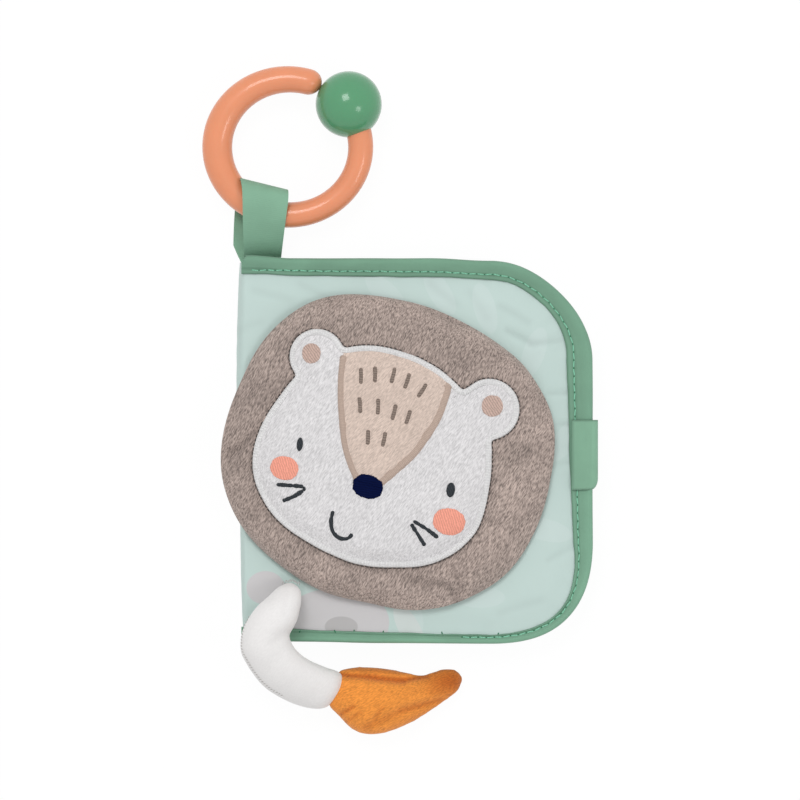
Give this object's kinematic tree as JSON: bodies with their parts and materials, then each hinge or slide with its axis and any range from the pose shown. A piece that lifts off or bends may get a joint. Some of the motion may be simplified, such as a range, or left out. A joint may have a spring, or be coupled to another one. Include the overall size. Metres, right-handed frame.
{
  "type": "crinkle cloth book",
  "caption": "Soft quilted cloth book with bound edges, a plush face pad on the cover, a stuffed tail with a tuft and an open ring on a ribbon loop.",
  "frame": {"origin": "middle of the back cover's flat outer face, the book lying closed on it", "axes": "+X from the spine to the fore edge, +Y from the foot to the head of the page, +Z from the back cover to the front cover"},
  "size_m": [0.1616, 0.2735, 0.0378],
  "materials": {
    "mint_cloth": "smooth printed cotton",
    "binding_tape": "stitched bias tape",
    "ribbon": "woven ribbon",
    "wadding": "soft fibre",
    "crinkle_film": "thin crackling film",
    "mane_plush": "short velour",
    "face_plush": "short velour",
    "satin_white": "satin stitch",
    "forehead_plush": "short velour",
    "satin_brown": "satin stitch",
    "nose_thread": "satin stitch",
    "eye_thread": "satin stitch",
    "cheek_thread": "satin stitch",
    "ear_plush": "short velour",
    "tuft_plush": "short velour",
    "ring_plastic": "gloss",
    "ball_plastic": "gloss"
  },
  "bodies": {
    "back_cover": {"back_outer_cloth": "mint_cloth", "back_wadding": "wadding", "back_crinkle_film": "crinkle_film", "back_inner_cloth": "mint_cloth", "back_binding": "binding_tape", "spine_lower": "mint_cloth"},
    "page_leaf": {"page_front_cloth": "mint_cloth", "page_wadding": "wadding", "page_crinkle_film": "crinkle_film", "page_back_cloth": "mint_cloth", "page_binding": "binding_tape"},
    "front_cover": {"front_outer_cloth": "mint_cloth", "front_wadding": "wadding", "front_crinkle_film": "crinkle_film", "front_inner_cloth": "mint_cloth", "front_binding": "binding_tape", "spine_upper": "mint_cloth", "pull_tab": "ribbon", "mane_front": "mane_plush", "mane_back": "mane_plush", "mane_stuffing": "wadding", "face_cloth": "face_plush", "face_border": "satin_white", "forehead_cloth": "forehead_plush", "forehead_border": "satin_brown", "nose": "nose_thread", "eye_left": "eye_thread", "eye_right": "eye_thread", "cheek_left": "cheek_thread", "cheek_right": "cheek_thread", "ear_left": "ear_plush", "ear_right": "ear_plush"},
    "tail": {"tail_cloth": "face_plush", "tail_stuffing": "wadding", "tuft_cloth": "tuft_plush", "tuft_stuffing": "wadding"},
    "hang_loop": {"hang_loop": "ribbon"},
    "ring": {"ring": "ring_plastic", "ball": "ball_plastic"}
  },
  "joints": [
    {"name": "page_turn", "type": "hinge", "parent": "back_cover", "child": "page_leaf", "pos_m": [-0.079, 0, 0.0079], "axis": [0, -1, 0], "range_deg": [0, 90]},
    {"name": "cover_open", "type": "hinge", "parent": "page_leaf", "child": "front_cover", "pos_m": [-0.079, 0, 0.0079], "axis": [0, -1, 0], "range_deg": [0, 135]},
    {"name": "tail_lift", "type": "hinge", "parent": "front_cover", "child": "tail", "pos_m": [-0.0508, -0.0558, 0.0208], "axis": [-1, 0, 0], "range_deg": [0, 75]},
    {"name": "loop_swing", "type": "hinge", "parent": "back_cover", "child": "hang_loop", "pos_m": [-0.0611, 0.0799, 0.0025], "axis": [1, 0, 0], "range_deg": [0, 30]},
    {"name": "ring_turn", "type": "hinge", "parent": "hang_loop", "child": "ring", "pos_m": [-0.0515, 0.1246, 0.01115], "axis": [-0.0639, -0.0456, 0.9969], "range_deg": [-10, 70]}
  ]
}
